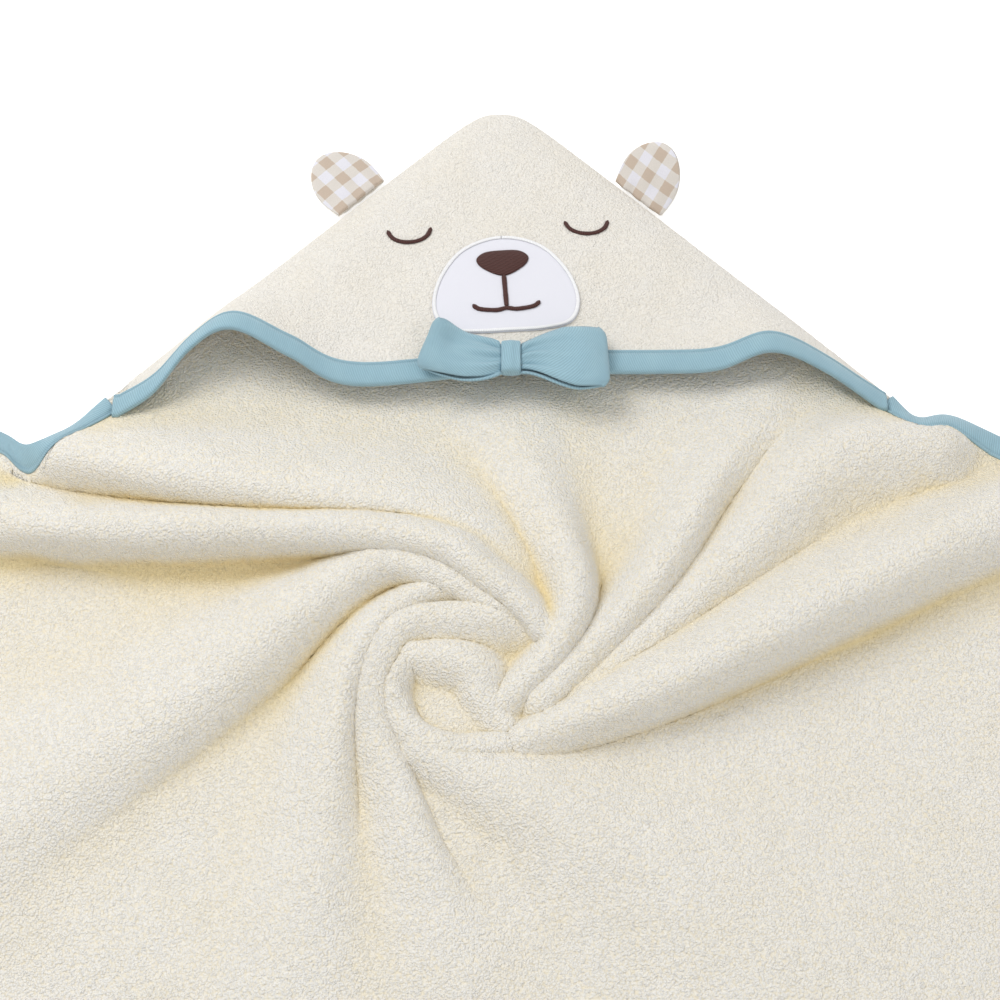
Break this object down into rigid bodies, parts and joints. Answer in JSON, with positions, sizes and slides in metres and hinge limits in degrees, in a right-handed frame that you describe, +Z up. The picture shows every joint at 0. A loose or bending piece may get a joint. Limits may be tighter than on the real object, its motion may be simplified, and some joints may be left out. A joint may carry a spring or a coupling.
{
  "type": "hooded baby towel",
  "caption": "Square terry towel with a corner hood that carries a stitched bear face, folding ears and a bow; bound edges; lying spread with its middle twisted into a swirl.",
  "frame": {"origin": "underside of the towel, flat on the table, on the centre line, 70 mm behind the middle of the hood's open front edge", "axes": "+Z up from the table, +Y towards the hood's point, +X to the right as seen from the towel's foot"},
  "size_m": [1.0604, 0.8771, 0.0398],
  "materials": {
    "towel_terry": "cream cotton terry, looped on both faces",
    "hood_terry": "cream cotton terry with shorter loops",
    "outer_tape": "dusty blue cotton jersey tape",
    "hood_tape": "dusty blue cotton jersey tape",
    "ear_check": "beige and white woven gingham",
    "ear_terry": "cream cotton terry",
    "muzzle_cotton": "smooth white woven cotton",
    "white_thread": "white satin stitch",
    "brown_thread": "dark brown satin stitch",
    "bow_tape": "dusty blue cotton jersey"
  },
  "bodies": {
    "towel": {"towel_panel": "towel_terry", "outer_binding": "outer_tape", "hood_panel": "hood_terry", "hood_binding": "hood_tape", "muzzle_patch": "muzzle_cotton", "muzzle_border": "white_thread", "nose_embroidery": "brown_thread", "philtrum_embroidery": "brown_thread", "mouth_embroidery": "brown_thread", "left_eye_embroidery": "brown_thread", "right_eye_embroidery": "brown_thread", "bow_band": "bow_tape"},
    "left_ear": {"left_ear_front": "ear_check", "left_ear_back": "ear_terry"},
    "right_ear": {"right_ear_front": "ear_check", "right_ear_back": "ear_terry"},
    "bow_left_wing": {"bow_left_loop": "bow_tape"},
    "bow_right_wing": {"bow_right_loop": "bow_tape"}
  },
  "joints": [
    {"name": "left_ear_fold", "type": "hinge", "parent": "towel", "child": "left_ear", "pos_m": [-0.079, 0.06685, 0.0068], "axis": [0.7071, 0.7071, 0], "range_deg": [0, 140]},
    {"name": "right_ear_fold", "type": "hinge", "parent": "towel", "child": "right_ear", "pos_m": [0.079, 0.06685, 0.0068], "axis": [0.7071, -0.7071, 0], "range_deg": [0, 100]},
    {"name": "bow_left_lift", "type": "hinge", "parent": "towel", "child": "bow_left_wing", "pos_m": [-0.00005, -0.061, 0.02973], "axis": [0, 1, 0], "range_deg": [0, 60]},
    {"name": "bow_right_lift", "type": "hinge", "parent": "towel", "child": "bow_right_wing", "pos_m": [0.01205, -0.061, 0.02973], "axis": [0, -1, 0], "range_deg": [0, 60]}
  ]
}
